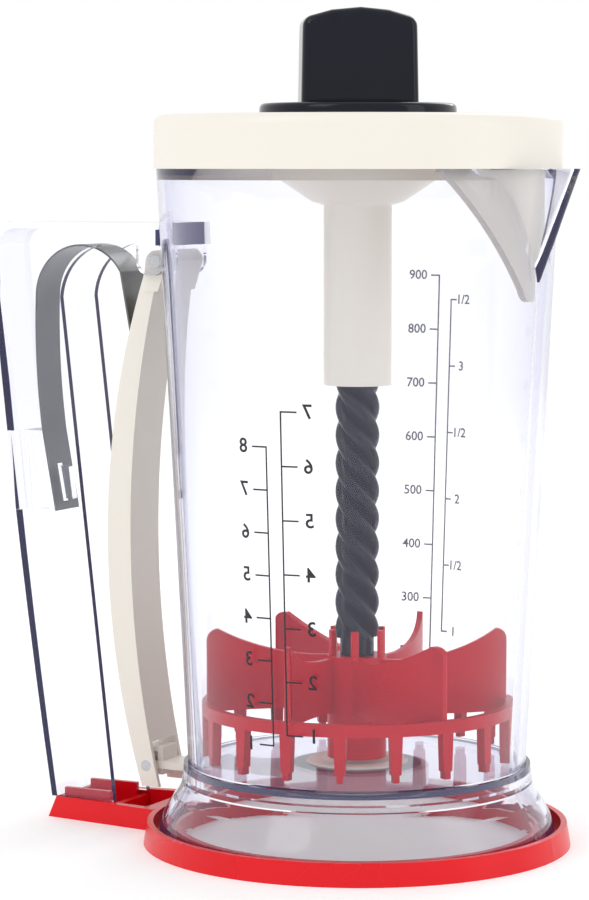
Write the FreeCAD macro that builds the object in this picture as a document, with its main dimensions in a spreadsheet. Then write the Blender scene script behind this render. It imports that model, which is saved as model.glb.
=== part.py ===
import FreeCAD, Part
import math
import os
import Sketcher

# Pancake batter dispenser: a clear measuring jug with a V spout, a trigger
# handle that pulls a gate under the jug's floor, and a whisk on a spiral rod
# that turns when the knob on the lid is pulled or pushed.
#
# Frame: millimetres, +Z up, the origin on the jug's axis at the table,
# +X towards the spout, -X towards the handle.

SIZES = {
    # Running gaps
    "slide_gap": 0.1,
    "loose_gap": 0.3,
    # Jug
    "floor_level": 19.7,
    "jug_floor": 2.0,
    "jug_foot_radius": 44.6,
    "jug_rim_radius": 52.6,
    "rim_level": 177.8,
    "jug_wall": 2.0,
    "neck_radius": 50.9,
    "neck_wall": 1.8,
    "neck_height": 6.2,
    "neck_slope": 2.8,
    # Spout
    "spout_reach": 61.6,
    "spout_nose_half": 1.6,
    "spout_nose_bend": 2.3,
    "spout_root": 46.2,
    "spout_half": 24.6,
    "spout_embed": 38.0,
    "spout_foot_level": 149.0,
    "spout_foot_reach": 51.4,
    "spout_foot_root": 50.0,
    "spout_foot_half": 0.8,
    "spout_wall": 2.15,
    "spout_sill": 2.6,
    # Skirt
    "collar_gap": 0.15,
    "collar_wall": 1.1,
    "collar_height": 1.9,
    "ledge_radius": 41.5,
    "ledge_depth": 2.0,
    "skirt_waist_radius": 46.5,
    "skirt_waist_level": 16.4,
    "skirt_waist_bend": 12.0,
    "skirt_cone_top_radius": 48.6,
    "skirt_cone_top_level": 12.4,
    "skirt_cone_foot_radius": 51.2,
    "skirt_cone_foot_level": 8.0,
    "skirt_foot_bend": 10.0,
    "skirt_hem_radius": 52.3,
    "skirt_hem_level": 4.6,
    "skirt_wall": 2.0,
    # Ring foot
    "ring_overhang": 4.3,
    "ring_draft": 1.0,
    "ring_height": 5.9,
    "ring_wall": 1.6,
    "ring_floor": 1.6,
    "ring_bore": 46.8,
    "ring_inner_height": 4.6,
    "arm_start": 54.0,
    "arm_end": 89.6,
    "arm_end_slope": 2.6,
    "arm_root_half": 14.7,
    "arm_end_half": 10.0,
    "arm_tray_start": 57.6,
    "arm_rib_half": 7.6,
    "arm_rib_wall": 1.4,
    "arm_rib_start": 71.0,
    "arm_rib_height": 8.2,
    "arm_cross_wall": 2.0,
    # Handle
    "handle_width": 20.0,
    "handle_wall": 1.8,
    "handle_joint": 54.0,
    "handle_top": 163.3,
    "handle_arm_depth": 6.0,
    "handle_back_top": 107.2,
    "handle_corner": 7.0,
    "handle_back_bend": 2400.0,
    "handle_foot_back": 88.4,
    "handle_foot_front": 68.9,
    "handle_inner_reach": 84.8,
    "handle_inner_drop": 20.3,
    "handle_inner_bend": 14.0,
    "handle_inner_end": 72.0,
    "ear_outer_margin": 5.4,
    "ear_inner_margin": 3.4,
    "ear_drop": 0.6,
    "ear_bend": 4.6,
    "ear_gap": 0.3,
    # Trigger lever
    "pivot_clearance": 3.0,
    "pivot_drop": 10.3,
    "lever_width": 15.4,
    "lever_wall": 1.3,
    "lever_web": 1.8,
    "lever_top_drop": 13.3,
    "lever_bottom": 10.6,
    "lever_back_top": 59.8,
    "lever_back_bottom": 61.2,
    "lever_back_bend": 224.0,
    "lever_front_top": 55.7,
    "lever_front_bottom": 56.0,
    "lever_front_bend": 285.0,
    "lever_fork_level": 22.6,
    "lever_channel_drop": 18.3,
    "lever_barrel_radius": 3.3,
    "pin_radius": 1.75,
    # Leaf spring
    "strap_width": 12.0,
    "strap_thickness": 0.5,
    "strap_foot_reach": 88.4,
    "strap_foot_level": 84.3,
    "strap_seat_inset": 14.8,
    "strap_seat_level": 106.0,
    "strap_arch_reach": 80.4,
    "strap_arch_level": 143.0,
    "strap_arch_radius": 13.8,
    "strap_arch_end": 30.0,
    "strap_bow": 0.8,
    "strap_knee_reach": 66.8,
    "strap_knee_level": 141.0,
    "strap_tip_reach": 63.25,
    "strap_tip_level": 122.0,
    "strap_slot_width": 3.2,
    "strap_slot_foot": 86.5,
    "strap_slot_top": 96.9,
    "peg_half": 1.2,
    "peg_length": 2.2,
    "peg_margin": 0.8,
    "rib_half": 4.0,
    "rib_overlap": 12.0,
    # Valve
    "seat_flange_radius": 13.5,
    "seat_flange": 0.6,
    "seat_neck_radius": 11.0,
    "seat_mouth_radius": 9.6,
    "outlet_radius": 6.0,
    "housing_radius": 19.0,
    "housing_bottom": 13.2,
    "housing_round": 1.2,
    "seal_height": 0.5,
    "floor_seal_bore": 12.5,
    "floor_seal_radius": 17.0,
    "gate_level": 15.2,
    "gate_thickness": 2.0,
    "gate_half": 7.5,
    "gate_tip": 8.0,
    "gate_neck_half": 5.0,
    "gate_neck_start": 26.0,
    "gate_seal_height": 0.7,
    "gate_seal_bore": 6.4,
    "gate_seal_radius": 8.8,
    "link_reach": 60.0,
    "link_level": 16.2,
    "link_radius": 1.5,
    "lug_half": 4.0,
    "lug_side": 3.2,
    "lug_bottom": 13.4,
    "lug_top": 20.9,
    "lug_slot_bottom": 14.4,
    "lug_slot_top": 19.7,
    # Lid
    "lid_radius": 53.2,
    "lid_top": 191.7,
    "lid_plate": 2.2,
    "lid_round": 2.6,
    "lid_bore": 51.1,
    "lid_rib_bore": 48.0,
    "lid_seal_bore": 48.6,
    "lid_seal_height": 1.5,
    "rod_hole": 6.3,
    "tongue_radius": 48.3,
    "tongue_wall": 1.6,
    "tongue_half": 30.1,
    "tongue_tip_level": 143.8,
    "tongue_tip_half": 4.6,
    "tongue_tip_rise": 3.2,
    "tongue_tip_bend": 5.0,
    # Guide tube
    "tube_radius": 8.9,
    "tube_bore": 6.9,
    "tube_bottom": 122.4,
    "cone_foot_radius": 12.0,
    "cone_foot_level": 169.2,
    "cone_radius": 23.0,
    "cone_level": 176.6,
    "cone_wall": 1.8,
    "nut_height": 10.0,
    "nut_lip": 1.0,
    # Spiral rod
    "lobe_offset": 3.1,
    "lobe_radius": 2.7,
    "rod_lead": 29.4,
    "spiral_bottom": 54.8,
    "spiral_top": 133.0,
    "rod_neck_radius": 4.45,
    "rod_core_radius": 4.0,
    "rod_flat": 3.2,
    "rod_bottom": 26.0,
    "rod_top": 198.0,
    "clip_groove_radius": 3.1,
    "clip_level": 193.6,
    "clip_thickness": 1.0,
    "clip_radius": 6.4,
    "clip_mouth": 2.6,
    # Knob
    "knob_flange_radius": 25.85,
    "knob_flange_edge": 0.8,
    "knob_flange_rise": 1.9,
    "knob_flange_shoulder": 17.0,
    "knob_flange_bend": 42.0,
    "knob_height": 27.6,
    "knob_half_width": 15.3,
    "knob_side_half": 8.2,
    "knob_crease_half": 9.6,
    "knob_taper": 0.8,
    "knob_round": 1.8,
    "knob_yaw": 31.0,
    "retainer_radius": 10.0,
    "retainer_thickness": 1.6,
    "knob_pocket_radius": 6.8,
    "knob_pocket_height": 3.9,
    # Whisk
    "hub_radius": 7.8,
    "hub_bottom": 23.0,
    "hub_top": 50.0,
    "screw_head_radius": 3.4,
    "screw_head_height": 1.8,
    "screw_shank_radius": 1.5,
    "screw_length": 11.0,
    "screw_recess": 2.2,
    "wheel_radius": 41.0,
    "wheel_width": 2.0,
    "wheel_bottom": 35.0,
    "wheel_height": 3.2,
    "vane_count": 6,
    "vane_reach": 39.8,
    "vane_thickness": 1.6,
    "vane_bend": 55.0,
    "vane_lean": 26.0,
    "vane_rim_level": 57.0,
    "vane_dip_level": 49.4,
    "vane_dip_radius": 13.0,
    "vane_dip_bend": 52.0,
    "vane_corner": 3.0,
    "vane_root": 1.0,
    "finger_count": 18,
    "finger_half": 1.7,
    "finger_tip_half": 1.3,
    "nub_half": 0.8,
    "nub_level": 25.2,
    "finger_bottom": 23.2,
    "finger_depth": 2.2,
    "whisk_turn": -30.0,
}

doc = FreeCAD.newDocument("BatterDispenser")
sheet = doc.addObject("Spreadsheet::Sheet", "Sizes")
for row, (alias, number) in enumerate(SIZES.items(), start=1):
    sheet.set("A%d" % row, alias)
    sheet.set("B%d" % row, str(number))
    sheet.setAlias("B%d" % row, alias)
doc.recompute()


def is_number(word):
    return word.replace(".", "", 1).isdigit()


def size(text):
    """Value of a sum of products, such as "a + b / 2", of sheet names and numbers."""
    total = 0.0
    sign = 1.0
    product = None
    divide = False
    for word in text.split():
        if word in ("+", "-"):
            total += 0.0 if product is None else sign * product
            sign = 1.0 if word == "+" else -1.0
            product = None
        elif word in ("*", "/"):
            divide = word == "/"
        else:
            number = float(word) if is_number(word) else float(sheet.get(word))
            if product is None:
                product = number
            else:
                product = product / number if divide else product * number
    return total + sign * product


def bound(text):
    """The same sum as an expression that reads the sheet."""
    words = [w if w in ("+", "-", "*", "/") or is_number(w) else "Sizes." + w for w in text.split()]
    return " ".join(words)


def new_body(label):
    body = doc.addObject("PartDesign::Body", label)
    body.Label = label
    return body


def start_sketch(body, name, plane, level):
    """Empty sketch on one of the body's own planes, raised to a level."""
    outline = body.newObject("Sketcher::SketchObject", name)
    support = [item for item in body.Origin.OriginFeatures if item.Role == plane][0]
    outline.AttachmentSupport = (support, "")
    outline.MapMode = "FlatFace"
    outline.setExpression("AttachmentOffset.Base.z", bound(level))
    return outline


def sketch(body, name, plane, path, level="0"):
    """Closed outline of corners (across, up), each bound to the sheet.

    A corner with a third and fourth item bends its edge to the next corner to
    that radius, outwards to the left of travel for +1 and to the right for -1.
    """
    outline = start_sketch(body, name, plane, level)
    points = [FreeCAD.Vector(size(corner[0]), size(corner[1]), 0) for corner in path]
    ends = []
    for index, corner in enumerate(path):
        start = points[index]
        stop = points[(index + 1) % len(path)]
        if len(corner) == 2:
            outline.addGeometry(Part.LineSegment(start, stop), False)
            ends.append((1, 2))
        else:
            outline.addGeometry(arc_between(start, stop, size(corner[2]), corner[3]), False)
            ends.append((2, 1) if corner[3] > 0 else (1, 2))
    for index, corner in enumerate(path):
        following = (index + 1) % len(path)
        first = ends[index][0]
        outline.addConstraint(
            Sketcher.Constraint("Coincident", index, ends[index][1], following, ends[following][0])
        )
        for direction, text in (("DistanceX", corner[0]), ("DistanceY", corner[1])):
            number = outline.addConstraint(
                Sketcher.Constraint(direction, -1, 1, index, first, size(text))
            )
            outline.setExpression("Constraints[%d]" % number, bound(text))
        if len(corner) > 2:
            number = outline.addConstraint(Sketcher.Constraint("Radius", index, size(corner[2])))
            outline.setExpression("Constraints[%d]" % number, bound(corner[2]))
    return outline


def arc_between(start, stop, radius, side):
    """Arc of less than a half turn that bulges to the left (+1) or right (-1) of travel."""
    chord = stop - start
    left = FreeCAD.Vector(-chord.y, chord.x, 0).normalize()
    drop = math.sqrt(radius ** 2 - (chord.Length / 2) ** 2)
    centre = (start + stop) / 2 - left * drop * side
    first, last = (stop, start) if side > 0 else (start, stop)
    angles = [math.atan2(p.y - centre.y, p.x - centre.x) for p in (first, last)]
    if angles[1] < angles[0]:
        angles[1] += 2 * math.pi
    circle = Part.Circle(centre, FreeCAD.Vector(0, 0, 1), radius)
    return Part.ArcOfCircle(circle, angles[0], angles[1])


def revolve(body, name, outline, kind="Revolution"):
    """A full turn of the outline about the upright axis, added or cut away."""
    feature = body.newObject("PartDesign::" + kind, name)
    feature.Profile = outline
    feature.ReferenceAxis = (outline, ["V_Axis"])
    feature.Angle = 360
    return feature


def extrude(body, name, outline, length, kind="Pad", symmetric=True):
    """The outline pushed through a length, to both sides of its plane or to one."""
    feature = body.newObject("PartDesign::" + kind, name)
    feature.Profile = outline
    feature.SideType = "Symmetric" if symmetric else "One side"
    feature.setExpression("Length", bound(length))
    return feature


def loft(body, name, first, second, kind="AdditiveLoft"):
    feature = body.newObject("PartDesign::" + kind, name)
    feature.Profile = first
    feature.Sections = [second]
    feature.Ruled = True
    return feature


def spread(body, name, original, count):
    """Equal copies of one feature round the upright axis."""
    pattern = body.newObject("PartDesign::PolarPattern", name)
    axis = [item for item in body.Origin.OriginFeatures if item.Role == "Z_Axis"][0]
    pattern.Originals = [original]
    pattern.Axis = (axis, [""])
    pattern.Angle = 360
    pattern.setExpression("Occurrences", bound(count))
    body.Tip = pattern
    return pattern


def round_edges(body, name, base, radius, chosen):
    """Fillet of the base's edges that the test picks by where they lie."""
    doc.recompute()
    names = ["Edge%d" % (i + 1) for i, edge in enumerate(base.Shape.Edges) if chosen(edge)]
    feature = body.newObject("PartDesign::Fillet", name)
    feature.Base = (base, names)
    feature.setExpression("Radius", bound(radius))
    return feature


def rectangle(left, right, bottom, top):
    return [(left, bottom), (right, bottom), (right, top), (left, top)]


def disc(label, radius, height, level, bore=None):
    """Upright cylinder or ring as a primitive, with its sizes bound to the sheet."""
    solid = doc.addObject("Part::Cylinder", label)
    solid.setExpression("Radius", bound(radius))
    solid.setExpression("Height", bound(height))
    solid.setExpression("Placement.Base.z", bound(level))
    if bore is None:
        solid.Label = label
        return solid
    solid.Label = label + "_outside"
    hole = disc(label + "_bore", bore, height, level)
    ring = doc.addObject("Part::Cut", label + "_ring")
    ring.Base = solid
    ring.Tool = hole
    ring.Label = label
    return ring


def cross_pin(label, radius, half_length, across, level):
    """Pin along Y at the given place across from the jug's axis."""
    pin = doc.addObject("Part::Cylinder", label)
    pin.Label = label
    pin.setExpression("Radius", bound(radius))
    pin.setExpression("Height", bound(half_length + " * 2"))
    pin.Placement.Rotation = FreeCAD.Rotation(FreeCAD.Vector(1, 0, 0), 90)
    pin.setExpression("Placement.Base.x", bound(across))
    pin.setExpression("Placement.Base.y", bound(half_length))
    pin.setExpression("Placement.Base.z", bound(level))
    return pin


def pierce(body, name, radius, half_length, across, level):
    """Cross hole along Y at the given place across from the jug's axis."""
    hole = start_sketch(body, name + "_outline", "XZ_Plane", "0")
    middle = FreeCAD.Vector(size(across), size(level), 0)
    hole.addGeometry(Part.Circle(middle, FreeCAD.Vector(0, 0, 1), size(radius)), False)
    for kind, text in (("DistanceX", across), ("DistanceY", level)):
        number = hole.addConstraint(Sketcher.Constraint(kind, -1, 1, 0, 3, size(text)))
        hole.setExpression("Constraints[%d]" % number, bound(text))
    number = hole.addConstraint(Sketcher.Constraint("Radius", 0, size(radius)))
    hole.setExpression("Constraints[%d]" % number, bound(radius))
    return extrude(body, name, hole, half_length + " * 2", "Pocket")


def add_solid(label, shape, placement=None):
    feature = doc.addObject("Part::Feature", label)
    feature.Label = label
    feature.Shape = shape
    if placement is not None:
        feature.Placement = placement
    return feature


# Jug: a tapered wall with a narrower neck inside the lid
jug = new_body("jug")
revolve(jug, "jug_outside", sketch(jug, "jug_profile", "XZ_Plane", [
    ("0", "floor_level"),
    ("jug_foot_radius", "floor_level"),
    ("jug_rim_radius", "rim_level"),
    ("neck_radius", "rim_level"),
    ("neck_radius", "rim_level + neck_height"),
    ("0", "rim_level + neck_height"),
]))
extrude(jug, "handle_pad", sketch(jug, "handle_pad_outline", "YZ_Plane", rectangle(
    "- handle_width / 2",
    "handle_width / 2",
    "handle_top - handle_arm_depth",
    "handle_top",
), level="- handle_joint"), "handle_joint - jug_foot_radius", symmetric=False)
SPOUT_TOP = [
    ("spout_reach", "- spout_nose_half", "spout_nose_bend", -1),
    ("spout_reach", "spout_nose_half"),
    ("spout_root", "spout_half"),
    ("spout_embed", "spout_half"),
    ("spout_embed", "- spout_half"),
    ("spout_root", "- spout_half"),
]
SPOUT_FOOT = [
    ("spout_foot_reach", "- spout_foot_half", "spout_nose_bend", -1),
    ("spout_foot_reach", "spout_foot_half"),
    ("spout_foot_root", "spout_foot_half * 2"),
    ("spout_embed", "spout_foot_half * 2"),
    ("spout_embed", "- spout_foot_half * 2"),
    ("spout_foot_root", "- spout_foot_half * 2"),
]
loft(
    jug,
    "spout_outside",
    sketch(jug, "spout_rim", "XY_Plane", SPOUT_TOP, level="rim_level"),
    sketch(jug, "spout_foot", "XY_Plane", SPOUT_FOOT, level="spout_foot_level"),
)



def moved_back(path):
    """The spout's outline set back by its wall."""
    return [(corner[0] + " - spout_wall",) + corner[1:] for corner in path]


revolve(jug, "jug_inside", sketch(jug, "jug_bore", "XZ_Plane", [
    ("0", "floor_level"),
    ("seat_neck_radius + slide_gap", "floor_level"),
    ("seat_neck_radius + slide_gap", "floor_level + jug_floor"),
    ("jug_foot_radius - jug_wall", "floor_level + jug_floor"),
    ("jug_rim_radius - jug_wall", "rim_level - neck_slope"),
    ("neck_radius - neck_wall", "rim_level"),
    ("neck_radius - neck_wall", "rim_level + neck_height"),
    ("0", "rim_level + neck_height"),
]), "Groove")
loft(
    jug,
    "spout_inside",
    sketch(jug, "spout_mouth", "XY_Plane", moved_back(SPOUT_TOP),
           level="rim_level"),
    sketch(jug, "spout_throat", "XY_Plane", moved_back(SPOUT_FOOT),
           level="spout_foot_level + spout_sill"),
    "SubtractiveLoft",
)

# Skirt: a collar round the jug's foot, a ledge under its floor and a flared bell
skirt = new_body("skirt")
revolve(skirt, "skirt_bell", sketch(skirt, "skirt_profile", "XZ_Plane", [
    ("jug_foot_radius + collar_gap", "floor_level"),
    ("jug_foot_radius + collar_gap", "floor_level + collar_height"),
    ("jug_foot_radius + collar_gap + collar_wall", "floor_level + collar_height"),
    ("skirt_waist_radius", "skirt_waist_level", "skirt_waist_bend", -1),
    ("skirt_cone_top_radius", "skirt_cone_top_level"),
    ("skirt_cone_foot_radius", "skirt_cone_foot_level", "skirt_foot_bend", 1),
    ("skirt_hem_radius", "skirt_hem_level"),
    ("skirt_hem_radius", "ring_floor"),
    ("skirt_hem_radius - skirt_wall", "ring_floor"),
    ("skirt_hem_radius - skirt_wall", "skirt_hem_level", "skirt_foot_bend - skirt_wall", -1),
    ("skirt_cone_foot_radius - skirt_wall", "skirt_cone_foot_level"),
    ("skirt_cone_top_radius - skirt_wall", "skirt_cone_top_level", "skirt_waist_bend + skirt_wall", 1),
    ("skirt_waist_radius - skirt_wall", "skirt_waist_level"),
    ("skirt_waist_radius - skirt_wall", "floor_level - ledge_depth"),
    ("ledge_radius", "floor_level - ledge_depth"),
    ("ledge_radius", "floor_level"),
]))
skirt_slot = extrude(skirt, "skirt_slot", sketch(skirt, "skirt_slot_outline", "YZ_Plane", rectangle(
    "- gate_half - loose_gap",
    "gate_half + loose_gap",
    "gate_level - loose_gap",
    "gate_level + gate_thickness + loose_gap",
), level="- skirt_hem_radius - ring_overhang"),
    "skirt_hem_radius + ring_overhang", "Pocket", symmetric=False)
skirt_slot.Reversed = True

# Ring foot: an open channel for the skirt's hem, with a tray arm under the handle
base_ring = new_body("base_ring")
revolve(base_ring, "ring_channel", sketch(base_ring, "ring_profile", "XZ_Plane", [
    ("ring_bore", "0"),
    ("skirt_hem_radius + ring_overhang", "0"),
    ("skirt_hem_radius + ring_overhang - ring_draft", "ring_height"),
    ("skirt_hem_radius + ring_overhang - ring_draft - ring_wall", "ring_height"),
    ("skirt_hem_radius + ring_overhang - ring_draft - ring_wall", "ring_floor"),
    ("ring_bore + ring_wall", "ring_floor"),
    ("ring_bore + ring_wall", "ring_inner_height"),
    ("ring_bore", "ring_inner_height"),
]))
loft(
    base_ring,
    "arm_block",
    sketch(base_ring, "arm_foot_outline", "XY_Plane", [
        ("- arm_start", "- arm_root_half"),
        ("- arm_start", "arm_root_half"),
        ("- arm_end", "arm_end_half"),
        ("- arm_end", "- arm_end_half"),
    ]),
    sketch(base_ring, "arm_top_outline", "XY_Plane", [
        ("- arm_start", "- arm_root_half"),
        ("- arm_start", "arm_root_half"),
        ("- arm_end + arm_end_slope", "arm_end_half"),
        ("- arm_end + arm_end_slope", "- arm_end_half"),
    ], level="ring_height"),
)
extrude(base_ring, "arm_tray", sketch(base_ring, "arm_tray_outline", "XY_Plane", [
    ("- arm_tray_start", "- arm_root_half + ring_wall + ring_wall"),
    ("- arm_tray_start", "arm_root_half - ring_wall - ring_wall"),
    ("- arm_end + arm_end_slope + ring_wall", "arm_end_half - ring_wall"),
    ("- arm_end + arm_end_slope + ring_wall", "- arm_end_half + ring_wall"),
], level="ring_height"), "ring_height - ring_floor", "Pocket", symmetric=False)
for side, sign in (("near", "- "), ("far", "")):
    extrude(base_ring, side + "_rib", sketch(base_ring, side + "_rib_outline", "XY_Plane", rectangle(
        "- arm_end + arm_end_slope + ring_wall",
        "- arm_rib_start",
        sign + "arm_rib_half",
        sign + "arm_rib_half " + ("+" if sign else "-") + " arm_rib_wall",
    ), level="ring_floor"), "arm_rib_height - ring_floor", symmetric=False)
extrude(base_ring, "cross_rib", sketch(base_ring, "cross_rib_outline", "XY_Plane", rectangle(
    "- arm_rib_start",
    "- arm_rib_start + arm_cross_wall",
    "- arm_end_half",
    "arm_end_half",
), level="ring_floor"), "ring_inner_height - ring_floor", symmetric=False)

# Handle: an open channel with ears for the trigger's pin and a peg for the strap
PIVOT_ACROSS = "- jug_rim_radius - pivot_clearance"
PIVOT_LEVEL = "handle_top - pivot_drop"
handle_shell = new_body("handle_shell")
extrude(handle_shell, "handle_block", sketch(handle_shell, "handle_outline", "XZ_Plane", [
    ("- handle_joint", "handle_top"),
    ("- handle_back_top + handle_corner", "handle_top", "handle_corner", -1),
    ("- handle_back_top", "handle_top - handle_corner", "handle_back_bend", -1),
    ("- handle_foot_back", "ring_height"),
    ("- handle_foot_front", "ring_height"),
    ("- handle_inner_reach", "handle_top - handle_inner_drop", "handle_inner_bend + handle_wall", 1),
    ("- handle_inner_end", "handle_top - handle_arm_depth"),
    (PIVOT_ACROSS + " - ear_outer_margin", "handle_top - handle_arm_depth"),
    (PIVOT_ACROSS + " - ear_outer_margin", PIVOT_LEVEL + " - ear_drop", "ear_bend", -1),
    (PIVOT_ACROSS + " + ear_inner_margin", PIVOT_LEVEL + " - ear_drop"),
    (PIVOT_ACROSS + " + ear_inner_margin", "handle_top - handle_arm_depth - ear_gap"),
    ("- handle_joint", "handle_top - handle_arm_depth - ear_gap"),
]), "handle_width")
extrude(handle_shell, "handle_channel", sketch(handle_shell, "handle_channel_outline", "XZ_Plane", [
    ("- handle_joint - handle_wall", "handle_top - handle_wall"),
    ("- handle_back_top + handle_corner", "handle_top - handle_wall", "handle_corner - handle_wall", -1),
    ("- handle_back_top + handle_wall", "handle_top - handle_corner", "handle_back_bend", -1),
    ("- handle_foot_back + handle_wall", "0"),
    ("- handle_foot_front + arm_end", "0"),
    ("- handle_foot_front + arm_end", "handle_top - handle_arm_depth"),
    ("- handle_joint - handle_wall", "handle_top - handle_arm_depth"),
]), "handle_width - handle_wall * 2", "Pocket")
extrude(handle_shell, "strap_rib", sketch(handle_shell, "strap_rib_outline", "XZ_Plane", [
    ("- strap_foot_reach - rib_overlap", "strap_foot_level"),
    ("- strap_foot_reach - strap_thickness - slide_gap", "strap_foot_level"),
    ("- handle_back_top + strap_seat_inset - strap_thickness - slide_gap", "strap_seat_level"),
    ("- handle_back_top + strap_seat_inset - rib_overlap + peg_length", "strap_seat_level"),
]), "rib_half * 2")
extrude(handle_shell, "strap_peg", sketch(handle_shell, "strap_peg_outline", "XZ_Plane", [
    ("- handle_back_top + strap_seat_inset", "strap_slot_foot + peg_margin"),
    ("- strap_foot_reach + peg_length", "strap_slot_foot + peg_margin"),
    ("- strap_foot_reach + peg_length - peg_half", "strap_slot_top - peg_margin"),
    ("- handle_back_top + strap_seat_inset", "strap_slot_top - peg_margin"),
]), "peg_half * 2")
pierce(handle_shell, "pivot_hole", "pin_radius + slide_gap / 2", "handle_width", PIVOT_ACROSS, PIVOT_LEVEL)

# Trigger lever: a bowed channel, open to the handle, with a barrel at the top and a fork below
lever = new_body("lever")
extrude(lever, "lever_block", sketch(lever, "lever_outline", "XZ_Plane", [
    ("- lever_back_top", "handle_top - lever_top_drop", "lever_back_bend", -1),
    ("- lever_back_bottom", "lever_bottom"),
    ("- lever_front_bottom", "lever_bottom", "lever_front_bend", 1),
    ("- lever_front_top", "handle_top - lever_top_drop"),
]), "lever_width")
extrude(lever, "lever_channel", sketch(lever, "lever_channel_outline", "XZ_Plane", [
    ("- lever_back_top - strap_width * 2", "handle_top - lever_channel_drop"),
    ("- lever_back_top - strap_width * 2", "lever_bottom - lever_web"),
    ("- lever_front_bottom - lever_web", "lever_bottom - lever_web", "lever_front_bend", 1),
    ("- lever_front_top - lever_web", "handle_top - lever_channel_drop"),
]), "lever_width - lever_wall * 2", "Pocket")
extrude(lever, "lever_fork", sketch(lever, "lever_fork_outline", "XZ_Plane", rectangle(
    "- lever_back_bottom - lever_web",
    "- lever_front_bottom + lever_width",
    "lever_bottom - lever_web",
    "lever_fork_level",
)), "lever_width - lever_wall * 2", "Pocket")
lever_barrel_outline = sketch(lever, "lever_barrel_outline", "XZ_Plane", [
    (PIVOT_ACROSS + " - lever_barrel_radius", PIVOT_LEVEL, "lever_barrel_radius + slide_gap / 10", 1),
    (PIVOT_ACROSS + " + lever_barrel_radius", PIVOT_LEVEL),
    ("- lever_front_top + slide_gap", "handle_top - lever_channel_drop"),
    ("- lever_back_top", "handle_top - lever_channel_drop"),
])
extrude(lever, "lever_barrel", lever_barrel_outline, "handle_width - handle_wall * 2 - slide_gap * 2")
pierce(lever, "lever_bore", "pin_radius + slide_gap / 2", "handle_width", PIVOT_ACROSS, PIVOT_LEVEL)
pierce(lever, "link_bore", "link_radius + slide_gap / 5", "handle_width", "- link_reach", "link_level")

lever_pin = cross_pin("lever_pin", "pin_radius", "handle_width / 2", PIVOT_ACROSS, PIVOT_LEVEL)
gate_pin = cross_pin("gate_pin", "link_radius", "lever_width / 2", "- link_reach", "link_level")


# Leaf spring: a bent strap that arches under the handle's arm
def strap_point(reach, level):
    return FreeCAD.Vector(-reach, 0, level)


strap_foot = strap_point(size("strap_foot_reach"), size("strap_foot_level"))
strap_seat = strap_point(size("handle_back_top - strap_seat_inset"), size("strap_seat_level"))
arch_centre = strap_point(size("strap_arch_reach"), size("strap_arch_level"))
arch_start = arch_centre + FreeCAD.Vector(-size("strap_arch_radius"), 0, 0)
arch_top = arch_centre + FreeCAD.Vector(0, 0, size("strap_arch_radius"))
arch_turn = math.radians(size("strap_arch_end"))
arch_side = FreeCAD.Vector(math.cos(arch_turn), 0, math.sin(arch_turn))
arch_end = arch_centre + arch_side * size("strap_arch_radius")
strap_middle = (strap_seat + arch_start) / 2 + FreeCAD.Vector(-size("strap_bow"), 0, 0)
strap_knee = strap_point(size("strap_knee_reach"), size("strap_knee_level"))
strap_tip = strap_point(size("strap_tip_reach"), size("strap_tip_level"))
strap_line = Part.Wire([
    Part.LineSegment(strap_foot, strap_seat).toShape(),
    Part.Arc(strap_seat, strap_middle, arch_start).toShape(),
    Part.Arc(arch_start, arch_top, arch_end).toShape(),
    Part.LineSegment(arch_end, strap_knee).toShape(),
    Part.LineSegment(strap_knee, strap_tip).toShape(),
])
strap_strip = strap_line.makeOffset2D(size("strap_thickness"), 2, True, True)
strap_solid = strap_strip.extrude(FreeCAD.Vector(0, size("strap_width"), 0))
strap_solid.translate(FreeCAD.Vector(0, -size("strap_width / 2"), 0))
strap_slot = Part.makeBox(
    size("rib_overlap * 2"),
    size("strap_slot_width"),
    size("strap_slot_top - strap_slot_foot"),
    FreeCAD.Vector(
        -size("handle_back_top - strap_seat_inset + rib_overlap"),
        -size("strap_slot_width / 2"),
        size("strap_slot_foot"),
    ),
)
leaf_spring = add_solid("leaf_spring", strap_solid.cut(strap_slot))

# Valve: a seat through the floor, a housing under it and a sliding gate between
valve_seat = new_body("valve_seat")
revolve(valve_seat, "seat_turning", sketch(valve_seat, "seat_profile", "XZ_Plane", [
    ("outlet_radius", "gate_level + gate_thickness + gate_seal_height"),
    ("gate_seal_bore - slide_gap", "gate_level + gate_thickness + gate_seal_height"),
    ("gate_seal_radius + slide_gap", "gate_level + gate_thickness + gate_seal_height"),
    ("gate_seal_radius + slide_gap", "gate_level + gate_thickness + slide_gap"),
    ("seat_neck_radius", "gate_level + gate_thickness + slide_gap"),
    ("seat_neck_radius", "floor_level + jug_floor"),
    ("seat_flange_radius", "floor_level + jug_floor"),
    ("seat_flange_radius - seat_flange", "floor_level + jug_floor + seat_flange"),
    ("seat_mouth_radius", "floor_level + jug_floor + seat_flange"),
    ("outlet_radius", "floor_level"),
]))
gate_seal = disc(
    "gate_seal", "gate_seal_radius", "gate_seal_height", "gate_level + gate_thickness", "gate_seal_bore"
)
floor_seal = disc(
    "floor_seal", "floor_seal_radius", "seal_height", "floor_level - seal_height", "floor_seal_bore"
)
valve_housing = new_body("valve_housing")
revolve(valve_housing, "housing_turning", sketch(valve_housing, "housing_profile", "XZ_Plane", [
    ("outlet_radius", "housing_bottom"),
    ("housing_radius - housing_round", "housing_bottom"),
    ("housing_radius", "housing_bottom + housing_round"),
    ("housing_radius", "floor_level - seal_height"),
    ("seat_neck_radius", "floor_level - seal_height"),
    ("seat_neck_radius", "gate_level + gate_thickness"),
    ("outlet_radius", "gate_level + gate_thickness"),
]))
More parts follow.
